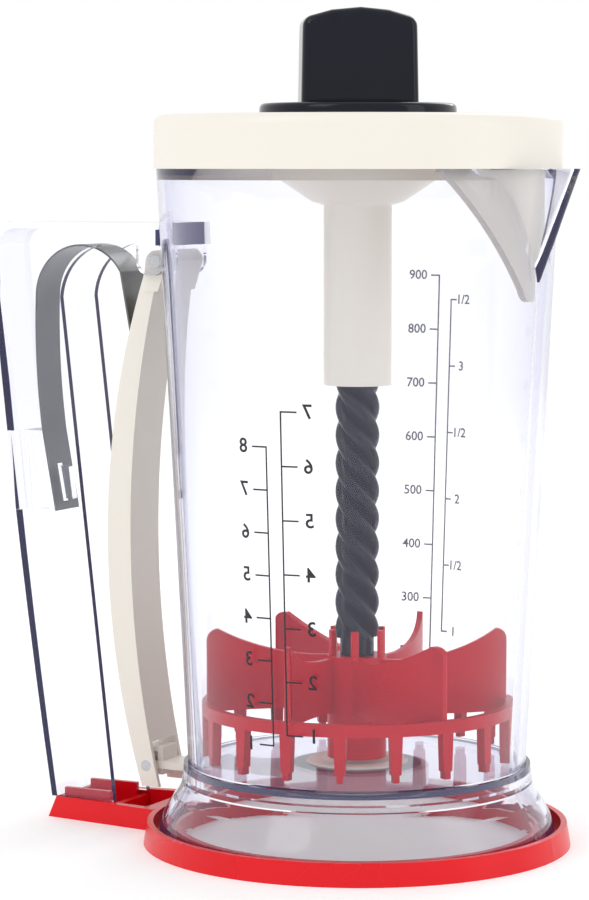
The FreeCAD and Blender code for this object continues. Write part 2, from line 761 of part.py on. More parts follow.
extrude(valve_housing, "gate_channel", sketch(valve_housing, "gate_channel_outline", "XY_Plane", [
    ("- housing_radius * 2", "- gate_half - slide_gap"),
    ("gate_tip - gate_half", "- gate_half - slide_gap", "gate_half + slide_gap + slide_gap / 10", -1),
    ("gate_tip - gate_half", "gate_half + slide_gap"),
    ("- housing_radius * 2", "gate_half + slide_gap"),
], level="gate_level + gate_thickness + slide_gap"),
    "gate_thickness + slide_gap * 2", "Pocket", symmetric=False)

valve_gate = new_body("valve_gate")
extrude(valve_gate, "gate_plate", sketch(valve_gate, "gate_outline", "XY_Plane", [
    ("gate_tip - gate_half", "- gate_half", "gate_half + slide_gap / 10", -1),
    ("gate_tip - gate_half", "gate_half"),
    ("- gate_neck_start", "gate_half"),
    ("- gate_neck_start - gate_neck_half", "gate_neck_half"),
    ("- link_reach", "gate_neck_half"),
    ("- link_reach", "- gate_neck_half"),
    ("- gate_neck_start - gate_neck_half", "- gate_neck_half"),
    ("- gate_neck_start", "- gate_half"),
], level="gate_level"), "gate_thickness", symmetric=False)
extrude(valve_gate, "gate_lug", sketch(valve_gate, "gate_lug_outline", "XZ_Plane", rectangle(
    "- link_reach - lug_side",
    "- link_reach + lug_side",
    "lug_bottom",
    "lug_top",
)), "lug_half * 2")
extrude(valve_gate, "gate_lug_slot", sketch(valve_gate, "gate_lug_slot_outline", "XZ_Plane", rectangle(
    "- link_reach - link_radius - slide_gap",
    "- link_reach + link_radius + slide_gap",
    "lug_slot_bottom",
    "lug_slot_top",
)), "handle_width", "Pocket")

# Lid: a cap with an inner rib over its seal, and a tongue that closes the spout
lid_cap = new_body("lid_cap")
revolve(lid_cap, "cap_turning", sketch(lid_cap, "cap_profile", "XZ_Plane", [
    ("rod_hole", "lid_top - lid_plate"),
    ("lid_rib_bore", "lid_top - lid_plate"),
    ("lid_rib_bore", "rim_level + neck_height + lid_seal_height"),
    ("lid_bore", "rim_level + neck_height + lid_seal_height"),
    ("lid_bore", "rim_level"),
    ("lid_radius", "rim_level"),
    ("lid_radius", "lid_top - lid_round", "lid_round", -1),
    ("lid_radius - lid_round", "lid_top"),
    ("rod_hole", "lid_top"),
]))
tongue_ring = disc(
    "tongue_ring",
    "tongue_radius",
    "lid_top - lid_plate / 2 - tongue_tip_level",
    "tongue_tip_level",
    "tongue_radius - tongue_wall",
)
tongue_face = new_body("tongue_face")
extrude(tongue_face, "tongue_slice", sketch(tongue_face, "tongue_outline", "YZ_Plane", [
    ("- tongue_half", "lid_top"),
    ("- tongue_half", "rim_level"),
    ("- tongue_tip_half", "tongue_tip_level + tongue_tip_rise", "tongue_tip_bend", -1),
    ("tongue_tip_half", "tongue_tip_level + tongue_tip_rise"),
    ("tongue_half", "rim_level"),
    ("tongue_half", "lid_top"),
]), "lid_radius", symmetric=False)
tongue = doc.addObject("Part::Common", "tongue")
tongue.Base = tongue_ring
tongue.Tool = tongue_face
lid = doc.addObject("Part::Fuse", "lid")
lid.Label = "lid"
lid.Base = lid_cap
lid.Tool = tongue
lid_seal = disc(
    "lid_seal",
    "lid_bore - slide_gap * 2",
    "lid_seal_height",
    "rim_level + neck_height",
    "lid_seal_bore",
)

# Guide tube: a funnel under the lid that narrows to the tube round the rod
guide_tube = new_body("guide_tube")
revolve(guide_tube, "tube_turning", sketch(guide_tube, "tube_profile", "XZ_Plane", [
    ("tube_bore", "tube_bottom"),
    ("tube_radius", "tube_bottom"),
    ("tube_radius", "cone_foot_level - cone_wall / 2"),
    ("cone_foot_radius", "cone_foot_level"),
    ("cone_radius", "cone_level"),
    ("cone_radius", "lid_top - lid_plate"),
    ("cone_radius - cone_wall", "lid_top - lid_plate"),
    ("cone_radius - cone_wall", "cone_level + cone_wall / 2"),
    ("cone_foot_radius - cone_wall / 2", "cone_foot_level + cone_wall"),
    ("tube_bore", "cone_foot_level + cone_wall / 2"),
]))


# Spiral rod and its nut: four round strands wound left-handed on one lead
def strand_section(swell):
    """Outline of four overlapping strands, each wider by the swell."""
    offset = size("lobe_offset")
    radius = size("lobe_radius") + swell
    valley = offset * math.cos(math.pi / 4) + math.sqrt(radius ** 2 - (offset * math.sin(math.pi / 4)) ** 2)
    edges = []
    for quarter in range(4):
        middle = quarter * math.pi / 2
        points = []
        for angle, reach in ((-math.pi / 4, valley), (0, offset + radius), (math.pi / 4, valley)):
            points.append(FreeCAD.Vector(math.cos(middle + angle), math.sin(middle + angle), 0) * reach)
        edges.append(Part.Arc(*points).toShape())
    return Part.Wire(edges)


def strand_column(swell, bottom, height):
    """The strand outline drawn upwards while it turns once to the left in each lead."""
    spine = Part.Wire(Part.makeLine(FreeCAD.Vector(0, 0, 0), FreeCAD.Vector(0, 0, height)))
    turning = Part.makeHelix(size("rod_lead"), height, size("lobe_offset"), 0, True)
    sweep = Part.BRepOffsetAPI.MakePipeShell(spine)
    sweep.setAuxiliarySpine(Part.Wire(turning.Edges), True, 0)
    section = strand_section(swell)
    start_turn = -360.0 * bottom / size("rod_lead")
    section.rotate(FreeCAD.Vector(0, 0, 0), FreeCAD.Vector(0, 0, 1), start_turn)
    sweep.add(section)
    sweep.build()
    sweep.makeSolid()
    column = sweep.shape()
    column.translate(FreeCAD.Vector(0, 0, bottom))
    return column


def upright(radius, bottom, top):
    return Part.makeCylinder(radius, top - bottom, FreeCAD.Vector(0, 0, bottom))


spiral_bottom = size("spiral_bottom")
spiral_top = size("spiral_top")
rod_shaft = upright(size("rod_core_radius"), size("rod_bottom"), size("rod_top"))
clip_low = size("clip_level")
clip_high = size("clip_level + clip_thickness + slide_gap")
groove_ring = upright(size("clip_radius"), clip_low, clip_high).cut(
    upright(size("clip_groove_radius"), clip_low, clip_high)
)
flat_reach = size("rod_core_radius * 2")
flat_height = size("hub_top - rod_neck_radius - rod_bottom")
rod_shaft = rod_shaft.cut(groove_ring)
for flat_side in (1, -1):
    flat_block = Part.makeBox(flat_reach * 2, flat_reach, flat_height)
    flat_block.translate(FreeCAD.Vector(-flat_reach, -flat_reach / 2, size("rod_bottom")))
    flat_block.translate(FreeCAD.Vector(0, flat_side * (flat_reach / 2 + size("rod_flat")), 0))
    rod_shaft = rod_shaft.cut(flat_block)
rod_neck = upright(size("rod_neck_radius"), size("hub_top - rod_neck_radius"), spiral_bottom)
screw_hole = upright(
    size("screw_shank_radius"), size("rod_bottom"), size("hub_bottom + screw_recess + screw_length")
)
spiral_rod = add_solid(
    "spiral_rod",
    strand_column(0.0, spiral_bottom, spiral_top - spiral_bottom).fuse([rod_shaft, rod_neck]).cut(screw_hole),
)
nut_bottom = size("tube_bottom")
nut_blank = upright(size("tube_bore"), nut_bottom - size("nut_lip"), nut_bottom + size("nut_height"))
nut_blank = nut_blank.fuse(upright(size("tube_radius"), nut_bottom - size("nut_lip"), nut_bottom))
nut_margin = size("nut_lip")
nut_thread = strand_column(
    size("loose_gap"), nut_bottom - nut_margin * 2, size("nut_height + nut_lip * 4")
)
spiral_nut = add_solid("spiral_nut", nut_blank.cut(nut_thread))

# Clip and retainer that hold the rod's head in the knob and let it turn
rod_clip_ring = upright(size("clip_radius"), clip_low, clip_low + size("clip_thickness")).cut(
    upright(size("clip_groove_radius + slide_gap / 2"), clip_low, clip_high)
)
clip_mouth = Part.makeBox(
    size("clip_radius"),
    size("clip_mouth * 2"),
    size("clip_thickness"),
    FreeCAD.Vector(0, -size("clip_mouth"), clip_low),
)
rod_clip = add_solid("rod_clip", rod_clip_ring.cut(clip_mouth))
knob_retainer = disc(
    "knob_retainer",
    "retainer_radius",
    "retainer_thickness",
    "lid_top + slide_gap",
    "rod_core_radius + slide_gap",
)

# Knob: a creased grip on a low domed disc
knob = new_body("knob")
revolve(knob, "knob_disc", sketch(knob, "knob_disc_profile", "XZ_Plane", [
    ("0", "lid_top"),
    ("knob_flange_radius", "lid_top"),
    ("knob_flange_radius", "lid_top + knob_flange_edge", "knob_flange_bend", -1),
    ("knob_flange_shoulder", "lid_top + knob_flange_rise"),
    ("0", "lid_top + knob_flange_rise"),
]))
knob_grip = extrude(knob, "knob_grip", sketch(knob, "knob_grip_outline", "XY_Plane", [
    ("- knob_half_width", "- knob_side_half"),
    ("0", "- knob_crease_half"),
    ("knob_half_width", "- knob_side_half"),
    ("knob_half_width", "knob_side_half"),
    ("0", "knob_crease_half"),
    ("- knob_half_width", "knob_side_half"),
], level="lid_top"), "knob_height", symmetric=False)
knob_grip.setExpression("TaperAngle", "-" + bound("knob_taper"))


def on_knob_top(edge):
    box = edge.BoundBox
    top = size("lid_top + knob_height")
    return box.ZMin > top - 0.01


round_edges(knob, "knob_crown", knob_grip, "knob_round", on_knob_top)
revolve(knob, "knob_pocket", sketch(knob, "knob_pocket_profile", "XZ_Plane", [
    ("0", "lid_top"),
    ("retainer_radius + slide_gap", "lid_top"),
    ("retainer_radius + slide_gap", "lid_top + slide_gap + retainer_thickness"),
    ("knob_pocket_radius", "lid_top + slide_gap + retainer_thickness"),
    ("knob_pocket_radius", "lid_top + knob_pocket_height"),
    ("rod_core_radius + slide_gap", "lid_top + knob_pocket_height"),
    ("rod_core_radius + slide_gap", "rod_top + slide_gap"),
    ("0", "rod_top + slide_gap"),
]), "Groove")
knob.setExpression("Placement.Rotation.Angle", bound("knob_yaw"))

# Whisk: a hub, six curved vanes with dipped tops, a wheel rim and a comb of fingers
whisk = new_body("whisk")
revolve(whisk, "hub", sketch(whisk, "hub_profile", "XZ_Plane", [
    ("screw_shank_radius + slide_gap", "hub_bottom + screw_recess"),
    ("screw_head_radius + slide_gap", "hub_bottom + screw_recess"),
    ("screw_head_radius + slide_gap", "hub_bottom"),
    ("hub_radius", "hub_bottom"),
    ("hub_radius", "hub_top"),
    ("rod_neck_radius + slide_gap", "hub_top"),
    ("rod_neck_radius + slide_gap", "hub_top - rod_neck_radius"),
    ("rod_core_radius + slide_gap", "hub_top - rod_neck_radius"),
    ("rod_core_radius + slide_gap", "rod_bottom"),
    ("screw_shank_radius + slide_gap", "rod_bottom"),
]))


def vane_path():
    """Ends and offsets of the vane's arc, from the rim in to the hub."""
    lean = math.radians(size("vane_lean"))
    bend = size("vane_bend")
    reach = size("vane_reach")
    centre = FreeCAD.Vector(reach - bend * math.sin(lean), bend * math.cos(lean), 0)
    inner = size("hub_radius - vane_root")
    # The arc meets the hub where its circle crosses the circle of that radius
    span = centre.Length
    toward = math.acos((span ** 2 + inner ** 2 - bend ** 2) / (2 * span * inner))
    base = math.atan2(centre.y, centre.x)
    return centre, bend, base - toward, inner


vane_centre, vane_bend, vane_hub_angle, vane_inner = vane_path()
vane_hub_end = FreeCAD.Vector(math.cos(vane_hub_angle), math.sin(vane_hub_angle), 0) * vane_inner
vane_start = math.atan2(-vane_centre.y, size("vane_reach") - vane_centre.x)
vane_stop = math.atan2(vane_hub_end.y - vane_centre.y, vane_hub_end.x - vane_centre.x)
vane_edges = []
vane_corners = []
for shift in (0.5, -0.5):
    ring = Part.Circle(vane_centre, FreeCAD.Vector(0, 0, 1), vane_bend + shift * size("vane_thickness"))
    arc = Part.ArcOfCircle(ring, min(vane_start, vane_stop), max(vane_start, vane_stop))
    vane_edges.append(arc)
    vane_corners.append((arc.StartPoint, arc.EndPoint))
vane_outline = start_sketch(whisk, "vane_outline", "XY_Plane", "wheel_bottom")
vane_outline.addGeometry(vane_edges[0], False)
vane_outline.addGeometry(Part.LineSegment(vane_corners[0][1], vane_corners[1][1]), False)
vane_outline.addGeometry(vane_edges[1], False)
vane_outline.addGeometry(Part.LineSegment(vane_corners[1][0], vane_corners[0][0]), False)
vane = extrude(whisk, "vane", vane_outline, "vane_rim_level - wheel_bottom", symmetric=False)
spread(whisk, "vanes", vane, "vane_count")
revolve(whisk, "vane_tops", sketch(whisk, "vane_tops_profile", "XZ_Plane", [
    ("hub_radius + slide_gap", "vane_dip_level"),
    ("vane_dip_radius", "vane_dip_level", "vane_dip_bend", -1),
    ("vane_reach - vane_corner", "vane_rim_level - slide_gap", "vane_corner", 1),
    ("vane_reach", "vane_rim_level - vane_corner"),
    ("vane_reach", "wheel_bottom + wheel_height"),
    ("wheel_radius + vane_corner", "wheel_bottom + wheel_height"),
    ("wheel_radius + vane_corner", "vane_rim_level + vane_corner"),
    ("hub_radius + slide_gap", "vane_rim_level + vane_corner"),
]), "Groove")
revolve(whisk, "wheel", sketch(whisk, "wheel_profile", "XZ_Plane", rectangle(
    "wheel_radius - wheel_width",
    "wheel_radius",
    "wheel_bottom",
    "wheel_bottom + wheel_height",
)))
finger = extrude(whisk, "finger", sketch(whisk, "finger_outline", "YZ_Plane", [
    ("- finger_half", "wheel_bottom + wheel_height / 2"),
    ("- finger_tip_half", "nub_level"),
    ("- nub_half", "nub_level"),
    ("- nub_half", "finger_bottom"),
    ("nub_half", "finger_bottom"),
    ("nub_half", "nub_level"),
    ("finger_tip_half", "nub_level"),
    ("finger_half", "wheel_bottom + wheel_height / 2"),
], level="wheel_radius - slide_gap - finger_depth"), "finger_depth", symmetric=False)
spread(whisk, "fingers", finger, "finger_count")
whisk.setExpression("Placement.Rotation.Angle", bound("whisk_turn"))

whisk_screw = new_body("whisk_screw")
revolve(whisk_screw, "screw_turning", sketch(whisk_screw, "screw_profile", "XZ_Plane", [
    ("0", "hub_bottom + screw_recess - screw_head_height"),
    ("screw_head_radius", "hub_bottom + screw_recess - screw_head_height"),
    ("screw_head_radius", "hub_bottom + screw_recess"),
    ("screw_shank_radius", "hub_bottom + screw_recess"),
    ("screw_shank_radius", "hub_bottom + screw_recess + screw_length"),
    ("0", "hub_bottom + screw_recess + screw_length"),
]))

doc.recompute()

NODES = [
    jug, skirt, base_ring, handle_shell, lever, lever_pin, gate_pin, leaf_spring,
    valve_seat, gate_seal, floor_seal, valve_housing, valve_gate,
    lid, lid_seal, guide_tube, spiral_nut,
    spiral_rod, rod_clip, knob_retainer, knob, whisk, whisk_screw,
]

for item in doc.Objects:
    if "Invalid" in item.State or "Error" in item.State:
        raise RuntimeError("failed: %s %s" % (item.Label, item.State))
for item in doc.Objects:
    if item.isDerivedFrom("PartDesign::Pocket") or item.isDerivedFrom("PartDesign::Groove"):
        before = item.getBaseObject().Shape.Volume if hasattr(item, "getBaseObject") else None
        if before is not None and item.Shape.Volume > before - 0.01:
            raise RuntimeError("cuts nothing: %s" % item.Label)
for node in NODES:
    if node.Shape.isNull() or not node.Shape.isValid():
        raise RuntimeError("bad shape: %s" % node.Label)
    print(node.Label, len(node.Shape.Solids), round(node.Shape.Volume, 1))

os.makedirs("parts", exist_ok=True)
for node in NODES:
    node.Shape.exportStep("parts/%s.step" % node.Label)
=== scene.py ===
import math
import bmesh
import bpy
from mathutils import Matrix, Vector


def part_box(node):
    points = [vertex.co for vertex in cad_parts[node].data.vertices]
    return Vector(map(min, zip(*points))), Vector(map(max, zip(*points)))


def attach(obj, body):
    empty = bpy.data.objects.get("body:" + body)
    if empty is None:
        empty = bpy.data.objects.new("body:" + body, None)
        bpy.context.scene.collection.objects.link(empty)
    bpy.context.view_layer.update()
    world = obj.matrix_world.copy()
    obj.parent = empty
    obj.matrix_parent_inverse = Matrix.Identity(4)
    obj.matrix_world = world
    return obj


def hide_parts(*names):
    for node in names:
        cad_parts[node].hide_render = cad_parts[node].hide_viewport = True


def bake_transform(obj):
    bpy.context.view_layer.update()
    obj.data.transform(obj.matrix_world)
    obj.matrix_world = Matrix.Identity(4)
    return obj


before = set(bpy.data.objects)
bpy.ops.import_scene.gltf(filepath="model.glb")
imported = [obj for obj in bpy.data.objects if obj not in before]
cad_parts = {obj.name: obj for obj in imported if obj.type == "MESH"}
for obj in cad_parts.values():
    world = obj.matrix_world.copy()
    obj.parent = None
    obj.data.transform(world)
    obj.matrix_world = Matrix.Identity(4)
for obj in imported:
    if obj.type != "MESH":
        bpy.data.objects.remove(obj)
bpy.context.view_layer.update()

# The studio: an even white surround, one large soft lamp from the upper left, a weaker one
# from the right and a strip behind that lights the rims. The camera looks slightly down
# with a long lens, and stands 26 degrees round from the jug's side towards its spout.
VIEW_TURN = math.radians(26.0)
TO_THE_RIGHT = Vector((math.cos(VIEW_TURN), math.sin(VIEW_TURN), 0.0))
INTO_THE_SCENE = Vector((-math.sin(VIEW_TURN), math.cos(VIEW_TURN), 0.0))
UP = Vector((0.0, 0.0, 1.0))
LAMPS_AIM_AT = Vector((0.0, 0.0, 0.1))
CAMERA_AWAY = 0.842
CAMERA_HIGH = 0.1795
CAMERA_YAW = math.radians(1.125)
CAMERA_PITCH = math.radians(5.117)
WHITE = (1.0, 1.0, 1.0, 1.0)

world = bpy.data.worlds.new("surround")
bpy.context.scene.world = world
world.use_nodes = True
surround = world.node_tree.nodes["Background"].inputs
surround["Color"].default_value = WHITE
surround["Strength"].default_value = 1.0
bpy.context.scene.view_settings.view_transform = "Standard"


def soft_lamp(name, place, width, height, power):
    lamp = bpy.data.lights.new(name, "AREA")
    lamp.shape = "RECTANGLE"
    lamp.size = width
    lamp.size_y = height
    lamp.energy = power
    held = bpy.data.objects.new(name, lamp)
    held.location = place
    held.rotation_euler = (LAMPS_AIM_AT - place).to_track_quat("-Z", "Y").to_euler()
    bpy.context.scene.collection.objects.link(held)


key_place = TO_THE_RIGHT * -0.7 - INTO_THE_SCENE * 0.6 + UP * 0.9
fill_place = TO_THE_RIGHT * 0.9 - INTO_THE_SCENE * 0.3 + UP * 0.45
rim_place = TO_THE_RIGHT * 0.4 + INTO_THE_SCENE * 0.9 + UP * 0.8
soft_lamp("key", key_place, width=0.5, height=0.8, power=2.2)
soft_lamp("fill", fill_place, width=0.4, height=0.8, power=1.0)
soft_lamp("rim", rim_place, width=0.3, height=0.8, power=2.0)

lens = bpy.data.cameras.new("camera")
lens.lens = 128.66
lens.sensor_width = 36.0
lens.clip_start = 0.01
lens.clip_end = 60.0
camera = bpy.data.objects.new("camera", lens)
level_look = INTO_THE_SCENE * math.cos(CAMERA_YAW) - TO_THE_RIGHT * math.sin(CAMERA_YAW)
look = level_look * math.cos(CAMERA_PITCH) - UP * math.sin(CAMERA_PITCH)
camera.location = INTO_THE_SCENE * -CAMERA_AWAY + UP * CAMERA_HIGH
camera.rotation_euler = look.to_track_quat("-Z", "Y").to_euler()
bpy.context.scene.collection.objects.link(camera)
bpy.context.scene.camera = camera


# The floor: a wide sheet in pale matt paint that the object stands on, and no part of it.
# It runs out far enough to meet the white surround, and a faint glow of its own brings it
# near the surround's white.
class Wire:
    """A socket in a material. Arithmetic on it adds Math nodes; node() adds any other node."""

    MIX_FACTOR = 0
    MIX_FIRST_COLOUR = 6
    MIX_SECOND_COLOUR = 7
    MIX_COLOUR_RESULT = 2

    def __init__(self, tree, socket=None):
        self.tree = tree
        self.socket = socket

    def node(self, kind, settings, values, out=0):
        made = self.tree.nodes.new("ShaderNode" + kind)
        for name, value in settings.items():
            setattr(made, name, value)
        for name, value in values.items():
            if isinstance(value, Wire):
                self.tree.links.new(value.socket, made.inputs[name])
            else:
                made.inputs[name].default_value = value
        return Wire(self.tree, made.outputs[out])

    def math(self, operation, first, second):
        return self.node("Math", {"operation": operation}, {0: first, 1: second})

    def __add__(self, other):
        return self.math("ADD", self, other)

    def __mul__(self, other):
        return self.math("MULTIPLY", self, other)

    def __pow__(self, other):
        return self.math("POWER", self, other)

    def __rpow__(self, other):
        return self.math("POWER", other, self)

    __radd__ = __add__
    __rmul__ = __mul__

    def noise(self, scale, detail=2.0, stretch=(1.0, 1.0, 1.0)):
        spot = self.node("TexCoord", {}, {}, out="Object")
        spread = self.node("Mapping", {}, {"Vector": spot, "Scale": stretch})
        return self.node("TexNoise", {}, {"Vector": spread, "Scale": scale, "Detail": detail})

    def between(self, low, high):
        return self * (high - low) + low

    def blend(self, first, second):
        ends = {self.MIX_FACTOR: self, self.MIX_FIRST_COLOUR: first, self.MIX_SECOND_COLOUR: second}
        return self.node("Mix", {"data_type": "RGBA"}, ends, out=self.MIX_COLOUR_RESULT)

    def relief(self, height):
        return self.node("Bump", {}, {"Height": self, "Strength": 1.0, "Distance": height})


def finish(name, varied, **steady):
    """A material whose shader takes steady values on its sockets and whose varied part is
    worked out by varied(wire), which returns a socket name to wire table."""
    material = bpy.data.materials.new(name)
    material.use_nodes = True
    shader = material.node_tree.nodes["Principled BSDF"]
    for socket, value in steady.items():
        shader.inputs[socket.replace("_", " ")].default_value = value
    for socket, wire in varied(Wire(material.node_tree)).items():
        material.node_tree.links.new(wire.socket, shader.inputs[socket])
    return material


def matt_floor(wire):
    cloudy = wire.noise(scale=3.0)
    return {
        "Base Color": cloudy.blend((0.90, 0.90, 0.90, 1.0), (0.93, 0.93, 0.93, 1.0)),
        "Roughness": cloudy.between(0.7, 0.8),
    }


made = bmesh.new()
bmesh.ops.create_grid(made, x_segments=8, y_segments=8, size=12.0)
sheet = bpy.data.meshes.new("floor")
made.to_mesh(sheet)
made.free()
floor = bpy.data.objects.new("floor", sheet)
sheet.materials.append(
    finish("floor_paint", matt_floor, Emission_Color=WHITE, Emission_Strength=0.12)
)
bpy.context.scene.collection.objects.link(floor)


# The jug, its skirt and the handle shell: one crystal-clear rigid plastic, injection
# moulded. It is nearly colourless face on and goes blue-violet where the wall is seen
# edge on; the moulded faces wander by a few hundredths of a millimetre.
FACE_ON_TINT = (0.985, 0.988, 0.995, 1.0)
# Edge on, the colour is partly the plastic's own blue-violet along the long path through the wall
# and partly painted shade that darkens the edges.
EDGE_ON_TINT_AND_SHADE = (0.42, 0.43, 0.68, 1.0)
EDGE_TINT_POWER = 2.4
# The walls carry a faint blue-violet glow: painted light that lifts the dark seen through them.
WALL_GLOW = (0.25, 0.24, 0.60, 1.0)


def dress(material, *nodes):
    for node in nodes:
        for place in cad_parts[node].material_slots:
            place.material = material


def clear_wall(wire):
    edge_on = wire.node("LayerWeight", {}, {"Blend": 0.5}, out="Facing")
    waves = wire.noise(scale=28.0, detail=1.0)
    handling = wire.noise(scale=160.0, detail=3.0, stretch=(1.0, 1.0, 0.4))
    return {
        "Base Color": (edge_on ** EDGE_TINT_POWER).blend(FACE_ON_TINT, EDGE_ON_TINT_AND_SHADE),
        "Roughness": handling.between(0.0, 0.035),
        "Normal": waves.relief(height=0.00006),
    }


clear = finish(
    "clear_wall",
    clear_wall,
    Transmission_Weight=1.0,
    IOR=1.35,
    Emission_Color=WALL_GLOW,
    Emission_Strength=0.02,
)
dress(clear, "jug", "skirt", "handle_shell")


# The printed scales: thin ink on the outside of the wall, black on the near side and grey
# on the far side. Each side has two upright lines with ticks and plain numbers. The near
# numbers read backwards from outside, and the far ones read right through the jug.
WALL_LOW = Vector((0.0446, 0.0197))
WALL_HIGH = Vector((0.0526, 0.1778))
INK_PROUD = 0.00004
INK_THICK = 0.00005
LINE_WIDTH = 0.00042
LINE_ROW_HIGH = 0.004
NEAR_NUMBER_HIGH = 0.0036
FAR_NUMBER_HIGH = 0.0025
NUMBER_SHARE_OF_TYPE = 0.7
NUMBER_SWELL = 0.02
SAME_POINT = 0.000001


def flat_bar(art, across_low, across_high, low, high):
    rows = max(1, round((high - low) / LINE_ROW_HIGH))
    bar = bmesh.ops.create_grid(art, x_segments=1, y_segments=rows, size=0.5)["verts"]
    bmesh.ops.scale(art, verts=bar, vec=(across_high - across_low, high - low, 1.0))
    middle = Vector(((across_low + across_high) / 2.0, (low + high) / 2.0, 0.0))
    bmesh.ops.translate(art, verts=bar, vec=middle)


def number(art, words, middle, level, height):
    text = bpy.data.curves.new("number", "FONT")
    text.body = words
    text.size = height / NUMBER_SHARE_OF_TYPE
    text.align_x = "CENTER"
    text.align_y = "CENTER"
    text.resolution_u = 3
    text.offset = height * NUMBER_SWELL
    held = bpy.data.objects.new("number", text)
    bpy.context.scene.collection.objects.link(held)
    settled = held.evaluated_get(bpy.context.evaluated_depsgraph_get())
    flat = bpy.data.meshes.new_from_object(settled)
    flat.transform(Matrix.Translation((middle, level, 0.0)))
    art.from_mesh(flat)
    bpy.data.objects.remove(held)
    bpy.data.meshes.remove(flat)


def scale_line(art, numbers, low, step, tick, number_at, number_high):
    """An upright line with a tick and a number at each level, from low upwards by step."""
    top = low + step * (len(numbers) - 1)
    half = LINE_WIDTH / 2.0
    flat_bar(art, -half, half, low - half, top + half)
    for place, words in enumerate(numbers):
        level = low + step * place
        if tick > 0:
            flat_bar(art, half, tick, level - half, level + half)
        else:
            flat_bar(art, tick, -half, level - half, level + half)
        number(art, words, number_at, level, number_high)


def printed(name, art, meridian, ink):
    """Wraps flat artwork round the wall at a meridian, gives the ink its thickness and
    makes it a piece that stays with the stand. The wall is a cone from WALL_LOW to
    WALL_HIGH, which are each a radius and a level."""
    for vert in art.verts:
        up = (vert.co.y - WALL_LOW.y) / (WALL_HIGH.y - WALL_LOW.y)
        radius = WALL_LOW.x + (WALL_HIGH.x - WALL_LOW.x) * up + INK_PROUD
        turn = meridian - vert.co.x / radius
        vert.co = Vector((radius * math.cos(turn), radius * math.sin(turn), vert.co.y))
    bmesh.ops.remove_doubles(art, verts=art.verts[:], dist=SAME_POINT)
    bmesh.ops.reverse_faces(art, faces=art.faces[:])
    bmesh.ops.solidify(art, geom=art.faces[:], thickness=-INK_THICK)
    mesh = bpy.data.meshes.new(name)
    art.to_mesh(mesh)
    art.free()
    mesh.materials.append(ink)
    piece = bpy.data.objects.new(name, mesh)
    bpy.context.scene.collection.objects.link(piece)
    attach(piece, "stand")


def black_ink(wire):
    patchy = wire.noise(scale=900.0, detail=3.0)
    return {
        "Base Color": patchy.blend((0.006, 0.006, 0.009, 1.0), (0.02, 0.02, 0.025, 1.0)),
        "Roughness": patchy.between(0.4, 0.6),
    }


def grey_ink(wire):
    patchy = wire.noise(scale=900.0, detail=3.0)
    return {
        "Base Color": patchy.blend((0.10, 0.11, 0.12, 1.0), (0.17, 0.18, 0.19, 1.0)),
        "Roughness": patchy.between(0.4, 0.6),
    }


black = finish("black_ink", black_ink)
grey = finish("grey_ink", grey_ink)

art = bmesh.new()
scale_line(
    art, "12345678", low=0.0327, step=0.01086,
    tick=0.0041, number_at=0.0068, number_high=NEAR_NUMBER_HIGH,
)
printed("near_outer_scale", art, math.radians(-91.6), black)

art = bmesh.new()
scale_line(
    art, "1234567", low=0.0356, step=0.01368,
    tick=-0.0043, number_at=-0.0071, number_high=NEAR_NUMBER_HIGH,
)
printed("near_inner_scale", art, math.radians(-86.7), black)

art = bmesh.new()
hundreds = [str(hundred) for hundred in range(200, 1000, 100)]
scale_line(
    art, hundreds, low=0.0445, step=0.01484,
    tick=-0.0026, number_at=-0.0064, number_high=FAR_NUMBER_HIGH,
)
printed("far_outer_scale", art, math.radians(89.3), grey)

art = bmesh.new()
cups = ["1", "1/2", "2", "1/2", "3", "1/2"]
scale_line(
    art, cups, low=0.0505, step=0.01826,
    tick=0.0018, number_at=0.0039, number_high=FAR_NUMBER_HIGH,
)
printed("far_inner_scale", art, math.radians(84.8), grey)


# The ring foot with its arm: bright red gloss plastic, one moulding, which carries the
# skirt and the handle. Its colour has faint flow clouds and its faces a very fine grain.
def red_gloss(wire):
    grain = wire.noise(scale=1400.0, detail=2.0)
    cloudy = wire.noise(scale=30.0, detail=2.0)
    return {
        "Base Color": cloudy.blend((0.66, 0.001, 0.006, 1.0), (0.76, 0.003, 0.010, 1.0)),
        "Roughness": cloudy.between(0.22, 0.34),
        "Normal": grain.relief(height=0.000012),
    }


dress(finish("red_gloss", red_gloss, Specular_IOR_Level=0.3), "base_ring")


# The lid with its tongue, the guide tube and nut, the trigger and the valve parts: one
# cream-white plastic, half gloss, with faint flow clouds and a fine moulded grain. A faint
# glow is painted light on all of them, stronger on the tube and nut, which sit in shade
# inside the clear jug under the lid.
CREAM_GLOW = (1.0, 0.93, 0.82, 1.0)


def cream_plastic(wire):
    grain = wire.noise(scale=1800.0, detail=2.0)
    cloudy = wire.noise(scale=22.0, detail=3.0)
    return {
        "Base Color": cloudy.blend((0.74, 0.70, 0.63, 1.0), (0.78, 0.745, 0.68, 1.0)),
        "Roughness": cloudy.between(0.30, 0.42),
        "Normal": grain.relief(height=0.00001),
    }


cream = finish("cream_plastic", cream_plastic, Emission_Color=CREAM_GLOW, Emission_Strength=0.04)
dress(cream, "lid", "lever", "valve_seat", "valve_housing", "valve_gate")
# The tube and nut get a stronger painted glow that lifts the shade they sit in inside the jug.
tube_cream_painted_glow = finish("tube_cream_painted_glow", cream_plastic, Emission_Color=CREAM_GLOW, Emission_Strength=0.12)
dress(tube_cream_painted_glow, "guide_tube", "spiral_nut")


